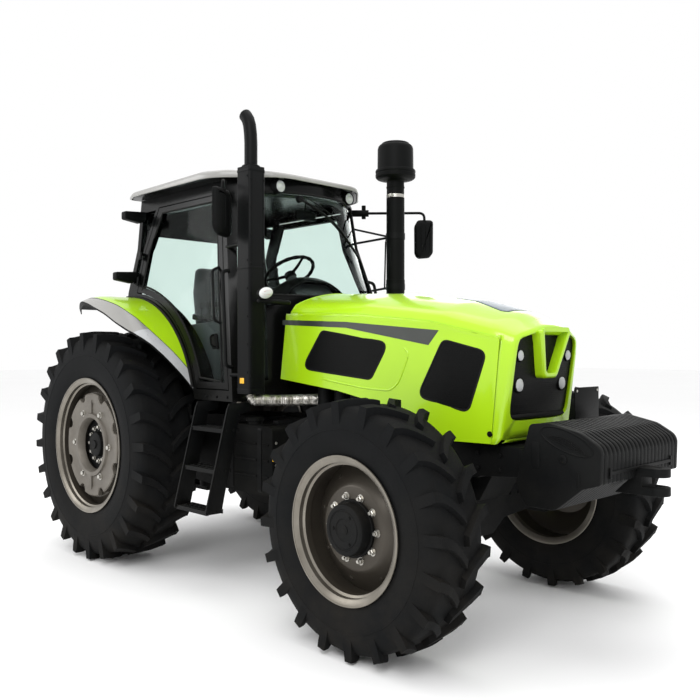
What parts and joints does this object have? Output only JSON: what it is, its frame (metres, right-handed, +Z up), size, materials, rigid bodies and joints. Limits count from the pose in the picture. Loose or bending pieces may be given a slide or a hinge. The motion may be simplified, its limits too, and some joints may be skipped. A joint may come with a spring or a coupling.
{
  "type": "farm tractor",
  "caption": "Four-wheel-drive farm tractor with a closed glazed cab, long sloping bonnet, lugged tyres, front weights, opening doors and bonnet, steering and a rear lift.",
  "frame": {"origin": "on the floor under the middle of the tractor's length and width", "axes": "+X forward, +Y to the driver's left, +Z up"},
  "size_m": [5.2498, 2.278, 3.1736],
  "materials": {
    "lime_paint": "gloss",
    "roof_paint": "satin",
    "black_paint": "satin",
    "black_casting": "rough",
    "rim_paint": "satin",
    "tyre_rubber": "rough",
    "tinted_glass": "gloss",
    "black_plastic": "matte",
    "lamp_lens": "gloss",
    "seat_fabric": "matte",
    "steel": "satin"
  },
  "bodies": {
    "chassis": {"access_steps": "black_paint", "battery_box": "black_plastic", "bonnet_side_panels": "lime_paint", "cab_frame": "black_paint", "dashboard": "black_plastic", "drawbar": "black_casting", "engine_block": "black_casting", "exhaust_pipe": "steel", "exhaust_shroud": "black_paint", "front_axle": "black_casting", "front_drive_shaft": "black_paint", "front_hitch": "black_casting", "front_support": "black_casting", "front_weights": "black_casting", "fuel_tank": "black_plastic", "indicator_lamps": "black_plastic", "intake_stack": "black_plastic", "mirrors": "black_plastic", "operator_seat": "seat_fabric", "rear_axle_housing": "black_casting", "rear_fenders": "lime_paint", "rear_lamps": "black_plastic", "rear_windows": "tinted_glass", "roof": "roof_paint", "roof_lamps": "lamp_lens", "side_vents": "black_plastic", "transmission_housing": "black_casting", "windscreen": "tinted_glass"},
    "wheel_rear_left": {"rim_rear_left": "rim_paint", "tyre_rear_left": "tyre_rubber"},
    "wheel_rear_right": {"rim_rear_right": "rim_paint", "tyre_rear_right": "tyre_rubber"},
    "wheel_front_left": {"rim_front_left": "rim_paint", "tyre_front_left": "tyre_rubber"},
    "wheel_front_right": {"rim_front_right": "rim_paint", "tyre_front_right": "tyre_rubber"},
    "knuckle_left": {"knuckle_left": "black_casting"},
    "knuckle_right": {"knuckle_right": "black_casting"},
    "steering_rod": {"steering_rod": "steel"},
    "steering_wheel": {"steering_wheel": "black_plastic"},
    "door_left": {"door_left": "black_paint", "door_glass_left": "tinted_glass"},
    "door_right": {"door_right": "black_paint", "door_glass_right": "tinted_glass"},
    "bonnet": {"bonnet_lid": "lime_paint", "nose_mask": "black_plastic", "headlamps": "lamp_lens"},
    "lift_arms": {"lift_arms": "black_casting"},
    "lower_links": {"lower_links": "black_casting"},
    "lift_rods": {"lift_rods": "steel"}
  },
  "joints": [
    {"name": "wheel_rear_left_roll", "type": "hinge", "parent": "chassis", "child": "wheel_rear_left", "pos_m": [-1.395, 0.877, 0.865], "axis": [0, 1, 0], "continuous": true},
    {"name": "steer_left", "type": "hinge", "parent": "chassis", "child": "knuckle_left", "pos_m": [1.43, 0.8, 0.668], "axis": [0, 0, 1], "range_deg": [-35, 35]},
    {"name": "wheel_front_left_roll", "type": "hinge", "parent": "knuckle_left", "child": "wheel_front_left", "pos_m": [1.43, 0.95, 0.668], "axis": [0, 1, 0], "continuous": true},
    {"name": "door_left_hinge", "type": "hinge", "parent": "chassis", "child": "door_left", "pos_m": [-1.303, 0.712, 2.1], "axis": [0, -0.1289, 0.9917], "range_deg": [0, 70]},
    {"name": "wheel_rear_right_roll", "type": "hinge", "parent": "chassis", "child": "wheel_rear_right", "pos_m": [-1.395, -0.877, 0.865], "axis": [0, 1, 0], "continuous": true},
    {"name": "steer_right", "type": "hinge", "parent": "chassis", "child": "knuckle_right", "pos_m": [1.43, -0.8, 0.668], "axis": [0, 0, 1], "range_deg": [-35, 35]},
    {"name": "wheel_front_right_roll", "type": "hinge", "parent": "knuckle_right", "child": "wheel_front_right", "pos_m": [1.43, -0.95, 0.668], "axis": [0, 1, 0], "continuous": true},
    {"name": "door_right_hinge", "type": "hinge", "parent": "chassis", "child": "door_right", "pos_m": [-1.303, -0.712, 2.1], "axis": [0, -0.1289, -0.9917], "range_deg": [0, 70]},
    {"name": "track_rod_slide", "type": "slide", "parent": "chassis", "child": "steering_rod", "axis": [0, 1, 0], "range_m": [-0.123, 0.123]},
    {"name": "steering_wheel_turn", "type": "hinge", "parent": "chassis", "child": "steering_wheel", "pos_m": [-0.31, 0, 2.165], "axis": [-0.5736, 0, 0.8192], "continuous": true},
    {"name": "bonnet_hinge", "type": "hinge", "parent": "chassis", "child": "bonnet", "pos_m": [0.19, 0, 1.89], "axis": [0, -1, 0], "range_deg": [0, 50]},
    {"name": "lower_links_lift", "type": "hinge", "parent": "chassis", "child": "lower_links", "pos_m": [-1.545, 0, 0.6], "axis": [0, 1, 0], "range_deg": [-14, 20]},
    {"name": "lift_arms_turn", "type": "hinge", "parent": "chassis", "child": "lift_arms", "pos_m": [-1.595, 0, 1.13], "axis": [0, 1, 0], "range_deg": [-22, 32]},
    {"name": "lift_rods_swing", "type": "hinge", "parent": "lift_arms", "child": "lift_rods", "pos_m": [-1.915, 0, 1.19], "axis": [0, 1, 0], "range_deg": [-28, 20]}
  ],
  "couplings": [
    {"joint": "steer_left", "follows": "steer_right", "ratio": 1},
    {"joint": "track_rod_slide", "follows": "steer_right", "m_per_rad": -0.2},
    {"joint": "lift_arms_turn", "follows": "lower_links_lift", "ratio": 1.48},
    {"joint": "lift_rods_swing", "follows": "lower_links_lift", "ratio": -1.28}
  ]
}
